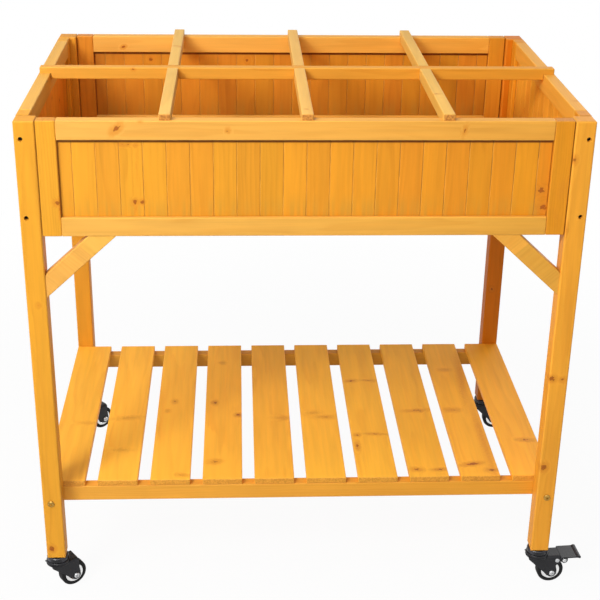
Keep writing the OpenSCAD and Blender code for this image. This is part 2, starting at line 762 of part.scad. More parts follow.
// Axle bolt with a domed socket head, its nut, and the brake's pivot rivet
module axle(braked) {
    head_r = 1.6 * axle_r;
    head_end = -fork_out - axle_r;
    nut_r = 1.8 * axle_r;
    nut_h = 5;
    bolt_end = fork_out + nut_h + 1;
    color(zinc) {
        translate([caster_trail, 0, wheel_r]) {
            difference() {
                rotate(along_y) rotate_extrude()
                    polygon(soft_path([[0, head_end, 0], [head_r, head_end, bolt_round],
                                       [head_r, -fork_out, 0], [axle_r, -fork_out, 0],
                                       [axle_r, bolt_end, bolt_end_round], [0, bolt_end, 0]]));
                rod([0, head_end - cut, 0], along_y, head_r / 2, socket_depth + cut, $fn = 6);
            }
            difference() {
                rod([0, fork_out, 0], along_y, nut_r, nut_h, $fn = 6);
                rod([0, 0, 0], along_y, axle_r + screw_fit, 2 * fork_w);
            }
        }
        if (braked) translate([pivot_x, 0, pivot_z]) rivet(fork_out, pivot_r);
    }
}

// Hub: disc with a boss that runs on the axle, dished on both sides inside the trim rings
module hub() {
    boss = fork_in - hub_side_gap;
    dish = 3;
    color(black_plastic) translate([caster_trail, 0, wheel_r]) rotate(along_y)
        rotate_extrude() polygon([
            [axle_r + running_fit, -boss], [boss_r, -boss], [boss_r, dish - hub_half],
            [trim_r - 1, dish - hub_half], [trim_r, -hub_half], [hub_r, -hub_half],
            [hub_r, hub_half], [trim_r, hub_half], [trim_r - 1, hub_half - dish],
            [boss_r, hub_half - dish], [boss_r, boss], [axle_r + running_fit, boss]]);
}

// Bright trim rings on the hub's two faces
module trim() {
    color(chrome) translate([caster_trail, 0, wheel_r]) for (turn = [0, 180])
        rotate([0, 0, turn]) rotate(along_y) translate([0, 0, hub_half + trim_fit])
            rotate_extrude() polygon([
                [trim_r + 0.4, 0], [hub_r - 0.3, 0], [hub_r - 0.3, trim_t * 0.6],
                [hub_r - 1.2, trim_t], [trim_r + 1, trim_t * 0.7], [trim_r + 0.4, trim_t * 0.3]]);
}

module tyre() {
    flat = wheel_w / 2 - tyre_round;
    color(black_rubber) translate([caster_trail, 0, wheel_r]) rotate(along_y)
        rotate_extrude() polygon(concat(
            [[hub_r, -hub_half - 0.6], [hub_r + 1.5, -wheel_w / 2]],
            arc([wheel_r - tyre_round, -flat], tyre_round, -90, 0, 6),
            arc([wheel_r - tyre_round, flat], tyre_round, 0, 90, 6),
            [[hub_r + 1.5, wheel_w / 2], [hub_r, hub_half + 0.6]]));
}

// Pedal: a plate with a rounded nose at its end, and two ears on the pivot
module pedal() {
    lip_x = pedal_reach - lip_len;
    lip_z = pedal_top + lip_h;
    ear_top = fork_top - sheet_t - ear_crown_gap;
    plate = soft_path([
        [pedal_front, pedal_under, 0], [pedal_front, pedal_top, 0.8], [lip_x - 2, pedal_top, 3],
        [lip_x + 1, lip_z, 1.5], [pedal_reach - 2, lip_z, 2.4], [pedal_reach, pedal_under, 2],
        [pedal_reach - 2, pedal_under - 1.5, 1], [lip_x, pedal_under, 3]]);
    heel_angle = -100;                    // where an ear's edge leaves the shoe's rivet
    crest_angle = -260;                   // where it leaves the pivot's
    ear = concat(
        [[pedal_front + 1, ear_top], [pedal_front + 1, pedal_under + sheet_t / 2],
         [shoe_x + shoe_ear_r, pedal_under + sheet_t / 2]],
        arc([shoe_x, shoe_z], shoe_ear_r, 0, heel_angle, 6),
        [[(pivot_x + shoe_x) / 2, pivot_z - pivot_ear_r]],
        arc([pivot_x, pivot_z], pivot_ear_r, -90, crest_angle, 8));
    color(black_steel) difference() {
        union() {
            intersection() {
                translate([0, pedal_w, 0]) rotate([90, 0, 0])
                    linear_extrude(2 * pedal_w) polygon(plate);
                translate([pedal_front, -pedal_w / 2, 0]) linear_extrude(2 * fork_top)
                    polygon(soft_outline(pedal_reach - pedal_front, pedal_w, 2));
            }
            for (s = [0, 1]) mirror([0, s, 0])
                translate([0, ear_out, 0]) rotate([90, 0, 0]) linear_extrude(ear_t) polygon(ear);
        }
        rod([pivot_x, -fork_w, pivot_z], along_y, pivot_r + running_fit, 2 * fork_w);
        rod([shoe_x, -fork_w, shoe_z], along_y, pivot_r + screw_fit, 2 * fork_w);
    }
}

// Brake shoe between the pedal's ears, hollowed to the tyre's curve
module shoe() {
    face_r = wheel_r + shoe_gap;
    face_angle = atan2(shoe_z - wheel_r, shoe_x - caster_trail) + 2;
    half = ear_in - shoe_side_gap;
    back_start = 110;                     // angles of the shoe's round back
    back_end = -50;
    body = concat(
        arc([caster_trail, wheel_r], face_r, face_angle - 8, face_angle + 9, 5),
        [[shoe_x - 5, shoe_z + 3.6]],
        arc([shoe_x, shoe_z], 4, back_start, back_end, 8));
    color(black_rubber) difference() {
        translate([0, half, 0]) rotate([90, 0, 0]) linear_extrude(2 * half) polygon(body);
        rod([shoe_x, -fork_w, shoe_z], along_y, pivot_r + screw_fit, 2 * fork_w);
    }
}

module shoe_rivet() {
    color(zinc) translate([shoe_x, 0, shoe_z]) rivet(ear_out, pivot_r);
}

module at_front_left() { translate([-leg_x, -leg_y, 0]) rotate(yaw_front_left) children(); }
module at_front_right() { translate([leg_x, -leg_y, 0]) rotate(yaw_front_right) children(); }
module at_rear_left() { translate([-leg_x, leg_y, 0]) rotate(yaw_rear_left) children(); }
module at_rear_right() { translate([leg_x, leg_y, 0]) rotate(yaw_rear_right) children(); }

// ---------- nodes ----------

in_place() leg(-1, -1);  // leg_front_left
in_place() leg(1, -1);  // leg_front_right
in_place() leg(-1, 1);  // leg_rear_left
in_place() leg(1, 1);  // leg_rear_right
in_place() front_rails();
in_place() front_stiles();
in_place() front_boards();
in_place() rear_rails();
in_place() rear_stiles();
in_place() rear_boards();
in_place() left_rails();
in_place() left_stiles();
in_place() left_boards();
in_place() right_rails();
in_place() right_stiles();
in_place() right_boards();
in_place() floor_boards();
in_place() floor_cleats();
in_place() long_divider();
in_place() cross_divider(-1);  // cross_divider_left
in_place() cross_divider(0);  // cross_divider_middle
in_place() cross_divider(1);  // cross_divider_right
in_place() brace(-1, -1);  // brace_front_left
in_place() brace(1, -1);  // brace_front_right
in_place() brace(-1, 1);  // brace_rear_left
in_place() brace(1, 1);  // brace_rear_right
in_place() shelf_rails();
in_place() shelf_slats();
in_place() wood_screws();
in_place() shelf_fixings();
in_place() stem_inserts();
in_place() caster_stems();
in_place() swivel_balls();
in_place() at_front_left() fork(false);  // fork_front_left
in_place() at_front_right() fork(true);  // fork_front_right
in_place() at_rear_left() fork(false);  // fork_rear_left
in_place() at_rear_right() fork(true);  // fork_rear_right
in_place() at_front_left() axle(false);  // axle_front_left
in_place() at_front_right() axle(true);  // axle_front_right
in_place() at_rear_left() axle(false);  // axle_rear_left
in_place() at_rear_right() axle(true);  // axle_rear_right
in_place() at_front_left() hub();  // hub_front_left
in_place() at_front_right() hub();  // hub_front_right
in_place() at_rear_left() hub();  // hub_rear_left
in_place() at_rear_right() hub();  // hub_rear_right
in_place() at_front_left() trim();  // trim_front_left
in_place() at_front_right() trim();  // trim_front_right
in_place() at_rear_left() trim();  // trim_rear_left
in_place() at_rear_right() trim();  // trim_rear_right
in_place() at_front_left() tyre();  // tyre_front_left
in_place() at_front_right() tyre();  // tyre_front_right
in_place() at_rear_left() tyre();  // tyre_rear_left
in_place() at_rear_right() tyre();  // tyre_rear_right
in_place() at_front_right() pedal();  // pedal_front_right
in_place() at_rear_right() pedal();  // pedal_rear_right
in_place() at_front_right() shoe();  // shoe_front_right
in_place() at_rear_right() shoe();  // shoe_rear_right
in_place() at_front_right() shoe_rivet();  // shoe_rivet_front_right
in_place() at_rear_right() shoe_rivet();  // shoe_rivet_rear_right
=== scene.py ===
import math
import random

import bpy
from mathutils import Matrix, Vector


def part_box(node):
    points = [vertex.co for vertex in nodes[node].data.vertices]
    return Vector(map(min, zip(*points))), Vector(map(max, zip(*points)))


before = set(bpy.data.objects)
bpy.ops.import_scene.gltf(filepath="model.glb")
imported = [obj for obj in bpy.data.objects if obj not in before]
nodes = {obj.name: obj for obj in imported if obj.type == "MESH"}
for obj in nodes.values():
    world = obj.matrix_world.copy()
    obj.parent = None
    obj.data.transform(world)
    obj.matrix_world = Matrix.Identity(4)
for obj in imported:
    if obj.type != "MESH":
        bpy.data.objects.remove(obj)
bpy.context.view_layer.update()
print("frame loaded:", len(nodes), "pieces of the planter")

mm = 0.001
perMetre = 1000  # millimetres in a metre

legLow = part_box("leg_front_left")[0]
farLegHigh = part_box("leg_front_right")[1]
# middle of the width, the front legs' faces, and the floor: places are given from here, in mm
planterMiddle = ((legLow.x + farLegHigh.x) / 2, legLow.y, 0.0)


def hexToLinear(colour):
    # sRGB hex, as a colour picker shows it, to the linear values that shaders work with
    parts = [int(colour[i:i + 2], 16) / 255 for i in (1, 3, 5)]
    return tuple(p / 12.92 if p <= 0.04045 else ((p + 0.055) / 1.055) ** 2.4 for p in parts) + (1.0,)


def addNode(tree, kind, inputs=None, **settings):
    node = tree.nodes.new("ShaderNode" + kind)
    for name, value in settings.items():
        setattr(node, name, value)
    for socket, value in (inputs or {}).items():
        if isinstance(value, bpy.types.Node):
            value = value.outputs[0]
        if isinstance(value, bpy.types.NodeSocket):
            tree.links.new(value, node.inputs[socket])
        else:
            node.inputs[socket].default_value = value
    return node


def newMaterial(name, **constants):
    material = bpy.data.materials.new(name)
    material.use_nodes = True
    tree = material.node_tree
    shader = tree.nodes["Principled BSDF"]
    for socket, value in constants.items():
        shader.inputs[socket.replace("_", " ")].default_value = value
    return material, tree, shader


def placeInMillimetres(tree):
    place = addNode(tree, "TexCoord").outputs["Object"]
    fromMiddle = addNode(tree, "VectorMath", {0: place, 1: planterMiddle}, operation="SUBTRACT")
    return addNode(tree, "VectorMath", {0: fromMiddle, "Scale": perMetre}, operation="SCALE")


def dress(nodeName, material):
    slots = nodes[nodeName].data.materials
    slots.clear()
    slots.append(material)


firFinish = {
    "sorts": {                # early wood and late wood of the sticks that went into it
        "honey": ("#E29F29", "#CE8A20"),
        "pale": ("#E4AC4C", "#D69838"),
        "palest": ("#E7BA62", "#DAA64E"),
        "light": ("#E4A63A", "#D4902A"),
        "bright": ("#FEBE3C", "#EDA32C"),
        # the warm and deep sorts are also painted shade: they colour the boards inside the box and the rear
        # right leg under it
        "warm": ("#DF9224", "#C67818"),
        "deep": ("#C0700C", "#9E5606"),
    },
    "seam": "#7A420C",
    "corner": "#552405",      # painted shade: the dark of corners, recesses and joints
    "edge": "#F4BE5E",        # where it is rubbed thin
    "knotHeart": "#A6581A",
    "knotRim": "#8A3F0A",
    "knotHalo": "#CF7F1F",
    "endGrainLight": "#D08A3A",
    "endGrainDark": "#9C5A22",
    "rubMark": "#B98A30",
    "ringSpacing": 4.2,       # mm; a little wider than real, so that it shows
    "ringContrast": 0.4,      # how much late wood shows in a ring
    "ringShape": (0.25, 0.86, 0.88),  # of a ring: late wood begins, is full, and breaks off
    "ringWander": 7.0,        # mm that a ring drifts along a board
    "ringSwell": 9.0,         # mm that the rings bend round a knot
    "heartAside": 45.0,       # mm, either way, from a board's middle to the tree's heart
    "heartBehind": (18.0, 95.0),  # mm
    "boardShift": 900.0,      # mm along the tree, at most, between one board's figure and another's
    "figureWidth": 32.0,      # mm; the drift of the rings across a board
    "figureStretch": 8,       # times as long along the grain as across it
    "clearPatch": 24.0,       # mm; rings show clearly in one patch and hardly in the next
    "fibreWidth": 2.2,        # mm; a bundle of fibres, drawn far coarser than real so that it shows
    "fibreStretch": 40,
    "streakWidth": 10.0,      # mm; marks of the brush and of the planer
    "streakStretch": 14,
    "blotchWidth": 40.0,      # mm; clouds in the stain
    "poreWidth": 3.0,         # mm; pores in end grain, coarser than real so that they show
    # how far each of them darkens and lightens the wood
    "fibreShade": (0.97, 1.025),
    "streakShade": (0.95, 1.04),
    "blotchShade": (0.93, 1.05),
    "pieceShade": 0.07,       # how far two boards may differ in brightness
    "pieceHue": (0.493, 0.501),   # redder to yellower; 0.5 leaves the colour as written
    "roughness": 0.52,
    "smoother": 0.08,         # how much less rough a closed fibre is
    "rougher": 0.1,           # and how much rougher an open one
    "specular": 0.2,          # oil stain leaves less shine than varnish
    "reliefHeight": 0.2,      # mm; raised late wood and fibres
    "knotRagged": 3.4,        # mm that a knot's outline wanders
    "knotRagWidth": 6.0,      # mm
    "knotPatch": 4.5,         # mm; light and dark inside a knot
    "knotReach": 9.0,         # mm that a knot goes in from the face
    "knotHaloRadii": 3.0,     # how far out a knot is still felt, in its own radii
    "seamDepth": 0.38,        # at most; in places the stain bridges the seam
    "seamPatch": 34.0,        # mm
    "seamGrowth": (0.3, 1.1),     # how full the seams are at the left end and at the right end; the growth to the right is painted shade
    "rubHeight": 48.0,        # mm above the bottom rail
    "boxHalf": 480.0,         # mm from the middle to either end; at the right one the drifts' painted shade and light are full
    # painted shade and light across the width: how the colour is multiplied at the right end, darker
    # outside the box and lighter inside it: in the sticks, the front boards, the rear
    "stainDrift": (0.99, 0.91, 0.62, 1.0),
    "boardDrift": (0.96, 0.77, 0.4, 1.0),
    "rearDrift": (1.03, 1.08, 0.95, 1.0),
}


def edgeFinder(tree, normal):
    # the normal without its signs, and its greatest part: 1 on a flat face, less on a rounded edge
    facing = addNode(tree, "SeparateXYZ", {
        0: addNode(tree, "VectorMath", {0: normal}, operation="ABSOLUTE")})
    widest = addNode(tree, "Math", {0: facing.outputs[0], 1: facing.outputs[1]}, operation="MAXIMUM")
    greatest = addNode(tree, "Math", {0: widest, 1: facing.outputs[2]}, operation="MAXIMUM")
    return facing, greatest


def placesOnBoard(tree, cut):
    # where a point lies in its piece and on its own board, in mm, and that board's random numbers
    finish = firFinish
    place = placeInMillimetres(tree)
    fromLeft = addNode(tree, "MapRange", {
        0: addNode(tree, "SeparateXYZ", {0: place}).outputs[0],
        1: -finish["boxHalf"], 2: finish["boxHalf"]})
    normal = addNode(tree, "NewGeometry").outputs["True Normal"]
    if "lean" in cut:  # a brace's grain runs along the brace
        place, normal = (
            addNode(tree, "VectorRotate", {"Vector": vector, "Center": (0, 0, 0), "Angle": cut["lean"]},
                    rotation_type="Y_AXIS") for vector in (place, normal))
    axes = addNode(tree, "SeparateXYZ", {0: place})
    along, across, through = (axes.outputs[cut[way]] for way in ("along", "across", "through"))

    # number of the board within its node, and the place across that board from its middle
    fromFirst = addNode(tree, "Math", {0: across, 1: cut["first"]}, operation="SUBTRACT")
    inPitches = addNode(tree, "Math", {0: fromFirst, 1: cut["pitch"]}, operation="DIVIDE")
    number = addNode(tree, "Math", {0: inPitches}, operation="FLOOR")
    share = addNode(tree, "Math", {0: inPitches}, operation="FRACT")
    fromMiddle = addNode(tree, "Math", {0: share, 1: 0.5}, operation="SUBTRACT")
    onOwn = addNode(tree, "Math", {0: fromMiddle, 1: cut["pitch"]}, operation="MULTIPLY")

    seeded = addNode(tree, "Math", {0: number, 1: cut["seed"]}, operation="ADD")
    dice = addNode(tree, "TexWhiteNoise", {"W": seeded}, noise_dimensions="1D")
    throws = addNode(tree, "SeparateColor", {0: dice.outputs["Color"]}).outputs
    shift = addNode(tree, "Math", {0: throws[2], 1: finish["boardShift"]}, operation="MULTIPLY")
    slid = addNode(tree, "Math", {0: along, 1: shift}, operation="ADD")
    return {"place": place, "normal": normal, "fromLeft": fromLeft, "along": along, "across": across,
            "through": through, "number": number, "onOwn": onOwn, "slid": slid,
            "brightness": dice.outputs["Value"], "heartAside": throws[0], "heartBehind": throws[1]}


def alongGrain(tree, board, sideways, stretch):
    # a place for noise that is so many times longer along the grain than across it
    lengthwise = addNode(tree, "Math", {0: board["slid"], 1: 1 / stretch}, operation="MULTIPLY")
    return addNode(tree, "CombineXYZ", {0: lengthwise, 1: board[sideways], 2: board["through"]})


def feltKnots(tree, board, knots):
    # how strongly the nearest knot is felt: its depth at its heart, nothing beyond its halo
    finish = firFinish
    rough = addNode(tree, "TexNoise", {
        "Vector": board["place"], "Scale": 1 / finish["knotRagWidth"], "Detail": 2.0})
    pulled = addNode(tree, "VectorMath", {0: rough.outputs["Color"], 1: (0.5, 0.5, 0.5)},
                     operation="SUBTRACT")
    ragged = addNode(tree, "VectorMath", {0: pulled, "Scale": finish["knotRagged"]}, operation="SCALE")
    onPiece = addNode(tree, "CombineXYZ", {0: board["along"], 1: board["across"], 2: board["through"]})
    place = addNode(tree, "VectorMath", {0: onPiece, 1: ragged}, operation="ADD")
    nearest = None
    for knotAlong, knotAcross, halfLength, halfWidth, tilt, depth, face in knots:
        inRadii = addNode(tree, "Mapping", {
            "Vector": place, "Location": (knotAlong, knotAcross, face),
            "Rotation": (0, 0, math.radians(tilt)),
            "Scale": (halfLength, halfWidth, finish["knotReach"])}, vector_type="TEXTURE")
        away = addNode(tree, "VectorMath", {0: inRadii}, operation="LENGTH").outputs["Value"]
        felt = addNode(tree, "MapRange", {0: away, 1: 0.0, 2: finish["knotHaloRadii"], 3: depth, 4: 0.0})
        nearest = felt if nearest is None else addNode(
            tree, "Math", {0: nearest, 1: felt}, operation="MAXIMUM")
    mottle = addNode(tree, "TexNoise", {
        "Vector": board["place"], "Scale": 1 / finish["knotPatch"], "Detail": 1.0})
    patchy = addNode(tree, "MapRange", {0: mottle, 1: 0.3, 2: 0.7, 3: 0.8, 4: 1.12})
    return addNode(tree, "Math", {0: nearest, 1: patchy}, operation="MULTIPLY")


def lateWood(tree, board, figure, knotFelt):
    # rings round the heart of the tree, which lies somewhere behind each board
    finish = firFinish
    heartAcross = addNode(tree, "MapRange", {
        0: board["heartAside"], 3: -finish["heartAside"], 4: finish["heartAside"]})
    nearest, farthest = finish["heartBehind"]
    heartThrough = addNode(tree, "MapRange", {0: board["heartBehind"], 3: nearest, 4: farthest})
    toHeart = addNode(tree, "CombineXYZ", {
        0: addNode(tree, "Math", {0: board["onOwn"], 1: heartAcross}, operation="ADD"),
        1: addNode(tree, "Math", {0: board["through"], 1: heartThrough}, operation="ADD")})
    radius = addNode(tree, "VectorMath", {0: toHeart}, operation="LENGTH").outputs["Value"]
    wander = addNode(tree, "TexNoise", {
        "Vector": figure, "Scale": 1 / finish["figureWidth"], "Detail": 2.0})
    drift = addNode(tree, "MapRange", {0: wander, 3: -finish["ringWander"], 4: finish["ringWander"]})
    ringPlace = addNode(tree, "Math", {0: radius, 1: drift}, operation="ADD")
    if knotFelt is not None:  # the rings flow round a knot
        ringPlace = addNode(tree, "Math", {0: knotFelt, 1: finish["ringSwell"], 2: ringPlace},
                            operation="MULTIPLY_ADD")

    turns = addNode(tree, "Math", {0: ringPlace, 1: finish["ringSpacing"]}, operation="DIVIDE")
    phase = addNode(tree, "Math", {0: turns}, operation="FRACT")
    begins, full, ends = finish["ringShape"]
    rise = addNode(tree, "MapRange", {0: phase, 1: begins, 2: full}, interpolation_type="SMOOTHSTEP")
    fall = addNode(tree, "MapRange", {0: phase, 1: ends, 2: 1.0, 3: 1.0, 4: 0.0})
    late = addNode(tree, "Math", {0: rise, 1: fall}, operation="MULTIPLY")
    patches = addNode(tree, "TexNoise", {
        "Vector": figure, "Scale": 1 / finish["clearPatch"], "Detail": 1.0})
    clearness = addNode(tree, "MapRange", {0: patches, 1: 0.35, 2: 0.65, 3: 0.3, 4: 1.0})
    clear = addNode(tree, "Math", {0: late, 1: clearness}, operation="MULTIPLY")
    shown = addNode(tree, "Math", {0: clear, 1: finish["ringContrast"]}, operation="MULTIPLY")
    return late, shown


def boardShade(tree, cut, board, patterns):
    # each board's own brightness, with its fibres, brush marks and clouds of stain
    finish = firFinish
    darkest = cut["tone"] * (1 - finish["pieceShade"])
    lightest = cut["tone"] * (1 + finish["pieceShade"] / 2)
    shade = addNode(tree, "MapRange", {0: board["brightness"], 3: darkest, 4: lightest})
    laterTone = addNode(tree, "MapRange", {0: board["number"], 3: 1.0, 4: cut["laterTone"]})
    shade = addNode(tree, "Math", {0: shade, 1: laterTone}, operation="MULTIPLY")
    for pattern, (low, high) in patterns:  # noise seldom leaves 0.28 to 0.72
        step = addNode(tree, "MapRange", {0: pattern, 1: 0.28, 2: 0.72, 3: low, 4: high})
        shade = addNode(tree, "Math", {0: shade, 1: step}, operation="MULTIPLY")
    return shade


def stainLayers(tree, cut, board, streaks, knotFelt):
    # what lies over the wood's own colour, from the lowest up, as (share, colour)
    finish = firFinish
    # stain sinks deep into end grain and wears thin on rounded edges
    facing, greatest = edgeFinder(tree, board["normal"])
    onEnd = addNode(tree, "MapRange", {
        0: facing.outputs[cut["along"]], 1: 0.55, 2: 0.8, 3: 0.0, 4: cut["endSoak"]})
    pores = addNode(tree, "TexNoise", {
        "Vector": board["place"], "Scale": 1 / finish["poreWidth"], "Detail": 3.0})
    poreShare = addNode(tree, "MapRange", {0: pores, 1: 0.35, 2: 0.65})
    endGrain = addNode(tree, "Mix", {0: poreShare, 6: hexToLinear(finish["endGrainDark"]),
                                     7: hexToLinear(finish["endGrainLight"])}, data_type="RGBA").outputs[2]
    onEdge = addNode(tree, "MapRange", {0: greatest, 1: 0.99, 2: 0.72, 3: 0.0, 4: cut["edgeWear"]})
    layers = [(onEnd, endGrain), (onEdge, hexToLinear(finish["edge"]))]

    if cut["seams"]:  # a thin line of stain between two boards, fuller in one place than in the next
        awayFromMiddle = addNode(tree, "Math", {0: board["onOwn"]}, operation="ABSOLUTE")
        half = cut["pitch"] / 2
        filled = addNode(tree, "TexNoise", {
            "Vector": board["place"], "Scale": 1 / finish["seamPatch"], "Detail": 1.0})
        depth = addNode(tree, "MapRange", {0: filled, 1: 0.4, 2: 0.6, 3: 0.04, 4: finish["seamDepth"]})
        # painted shade: the seams grow darker towards the right end
        atLeft, atRight = finish["seamGrowth"]
        growth = addNode(tree, "MapRange", {0: board["fromLeft"], 3: atLeft, 4: atRight})
        fullness = addNode(tree, "Math", {0: depth, 1: growth}, operation="MULTIPLY")
        inSeam = addNode(tree, "MapRange", {
            0: awayFromMiddle, 1: half - 1.5, 2: half - 0.3, 4: fullness}, interpolation_type="SMOOTHSTEP")
        layers.append((inSeam, hexToLinear(finish["seam"])))

    if "foot" in cut:  # rub marks where dust gathers above the bottom rail
        nearFoot = addNode(tree, "MapRange", {
            0: board["along"], 1: cut["foot"], 2: cut["foot"] + finish["rubHeight"], 3: 0.55, 4: 0.0},
            interpolation_type="SMOOTHSTEP")
        smeared = addNode(tree, "MapRange", {0: streaks, 1: 0.42, 2: 0.62})
        rubbed = addNode(tree, "Math", {0: nearFoot, 1: smeared}, operation="MULTIPLY")
        layers.append((rubbed, hexToLinear(finish["rubMark"])))

    # painted shade in corners, recesses and joints, darkest under the top rail where its shadow falls
    paintedCornerShade = None
    for source, edge, way, full, width, depth in cut["corners"]:
        inward = addNode(tree, "Math", {0: board[source], 1: way, 2: -way * edge},
                         operation="MULTIPLY_ADD")
        line = addNode(tree, "MapRange", {0: inward, 1: full, 2: width, 3: depth, 4: 0.0},
                       interpolation_type="SMOOTHSTEP")
        paintedCornerShade = line if paintedCornerShade is None else addNode(
            tree, "Math", {0: paintedCornerShade, 1: line}, operation="MAXIMUM")
    if paintedCornerShade is not None:
        layers.append((paintedCornerShade, hexToLinear(finish["corner"])))

    if knotFelt is not None:
        # colour; where it begins and is full, from the halo's edge (0) to the heart (1); share
        steps = (("knotHalo", 0.1, 0.58, 0.62), ("knotRim", 0.56, 0.7, 0.8),
                 ("knotHeart", 0.76, 0.86, 0.75))
        for part, begins, full, most in steps:
            within = addNode(tree, "MapRange", {0: knotFelt, 1: begins, 2: full, 3: 0.0, 4: most},
                             interpolation_type="SMOOTHSTEP")
            layers.append((within, hexToLinear(finish[part])))
    return layers


def stainedFir(name, cut, knots):
    # Planed fir under a honey stain. The stain sinks deeper into the soft early wood, so that the
    # rings show as warm lines, each board has its own shade, and knots stand out dark.
    finish = firFinish
    material, tree, shader = newMaterial(name, IOR=1.5, Roughness=finish["roughness"],
                                         Specular_IOR_Level=finish["specular"])
    board = placesOnBoard(tree, cut)
    figure = alongGrain(tree, board, "onOwn", finish["figureStretch"])
    knotFelt = feltKnots(tree, board, knots) if knots else None
    late, lateShare = lateWood(tree, board, figure, knotFelt)
    fibres = addNode(tree, "TexNoise", {
        "Vector": alongGrain(tree, board, "across", finish["fibreStretch"]),
        "Scale": 1 / finish["fibreWidth"], "Detail": 3.0, "Roughness": 0.6})
    streaks = addNode(tree, "TexNoise", {
        "Vector": alongGrain(tree, board, "across", finish["streakStretch"]),
        "Scale": 1 / finish["streakWidth"], "Detail": 2.0})
    blotches = addNode(tree, "TexNoise", {
        "Vector": figure, "Scale": 1 / finish["blotchWidth"], "Detail": 3.0})

    earlyColour, lateColour = finish["sorts"][cut["sort"]]
    wood = addNode(tree, "Mix", {0: lateShare, 6: hexToLinear(earlyColour), 7: hexToLinear(lateColour)},
                   data_type="RGBA").outputs[2]
    shade = boardShade(tree, cut, board, (
        (fibres, finish["fibreShade"]), (streaks, finish["streakShade"]),
        (blotches, finish["blotchShade"])))
    redder, yellower = finish["pieceHue"]
    # boards cut farther from the heart came out yellower
    hue = addNode(tree, "MapRange", {0: board["heartBehind"], 3: redder, 4: yellower})
    tinted = addNode(tree, "HueSaturation", {"Hue": hue, "Value": shade, "Color": wood})
    # painted shade and light from left to right: the colour is multiplied towards the drift at the right
    # end
    shown = addNode(tree, "Mix", {0: board["fromLeft"], 6: tinted, 7: finish[cut["drift"]]},
                    data_type="RGBA", blend_type="MULTIPLY").outputs[2]
    for share, colour in stainLayers(tree, cut, board, streaks, knotFelt):
        shown = addNode(tree, "Mix", {0: share, 6: shown, 7: colour}, data_type="RGBA").outputs[2]
    tree.links.new(shown, shader.inputs["Base Color"])

    relief = addNode(tree, "Math", {0: late, 1: fibres}, operation="ADD")
    bump = addNode(tree, "Bump", {
        "Height": relief, "Strength": 0.25, "Distance": finish["reliefHeight"] * mm})
    tree.links.new(bump.outputs[0], shader.inputs["Normal"])
    gloss = addNode(tree, "MapRange", {
        0: fibres, 3: finish["roughness"] - finish["smoother"], 4: finish["roughness"] + finish["rougher"]})
    tree.links.new(gloss.outputs[0], shader.inputs["Roughness"])
    return material


def scatterKnots(seed, low, high, faces, many):
    # small knots for the pieces that aren't in knotsSeen, each laid out as a knot is there
    draw = random.Random(seed)
    return [(draw.uniform(low[0], high[0]), draw.uniform(low[1], high[1]), draw.uniform(2.5, 4.5),
             draw.uniform(2.5, 5.5), draw.uniform(-30, 30), draw.uniform(0.6, 0.95), draw.choice(faces))
            for _ in range(many)]


def nodeSpan(nodeName, axis):
    # from where to where a piece reaches, in mm from planterMiddle
    low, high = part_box(nodeName)
    middle = planterMiddle[axis]
    return (low[axis] - middle) * perMetre, (high[axis] - middle) * perMetre


panelFrame = {"boardPitch": 39.1, "railHeight": 33.5, "stileWidth": 33.0}  # mm
boardsOutside = 20  # boards are counted from that many pitches left of a panel's middle
floorLayout = {"boards": 10, "gap": 4.5}    # mm
shelfLayout = {"slats": 10, "gap": 23.3}    # mm
braceLean = 42.5  # degrees
sawAllowance = 1.0  # mm round a single stick, so that its faces keep clear of the next board's number

# brightness of a piece against the common stick's, where it differs; the darker rear boards and stiles are
# painted shade inside the box
toneOf = {"rear_boards": 0.88, "rear_stiles": 0.86, "right_boards": 1.06, "left_boards": 1.15,
          "leg_rear_right": 1.3, "leg_front_right": 1.08, "front_rails": 0.94}
laterToneOf = {"front_rails": 1.09, "shelf_rails": 0.84}  # the upper or rear one of two, against the first; the darker rear shelf rail is painted shade under the slats
# which sort of firFinish a piece is coloured with, where it isn't the honey-coloured one; the warm and deep
# sorts are painted shade inside and under the box
sortOf = {
    **dict.fromkeys(("front_rails", "rear_rails", "left_rails", "right_rails", "brace_front_left",
                     "brace_front_right", "brace_rear_left", "brace_rear_right"), "pale"),
    **dict.fromkeys(("cross_divider_left", "cross_divider_middle", "cross_divider_right"), "palest"),
    **dict.fromkeys(("long_divider", "shelf_rails", "leg_front_right", "right_boards"), "light"),
    **dict.fromkeys(("rear_boards", "rear_stiles", "left_boards"), "warm"),
    "leg_rear_right": "deep", "shelf_slats": "bright"}
# which drift of firFinish it follows from left to right, where it isn't the sticks' one
driftOf = {"front_boards": "boardDrift", "front_stiles": "boardDrift",
           "rear_boards": "rearDrift", "rear_stiles": "rearDrift"}
# how far end grain took up the stain
endSoakOf = {"cross_divider_left": 0.9, "cross_divider_middle": 0.9, "cross_divider_right": 0.9,
             "shelf_slats": 0.6, "front_stiles": 0.55}

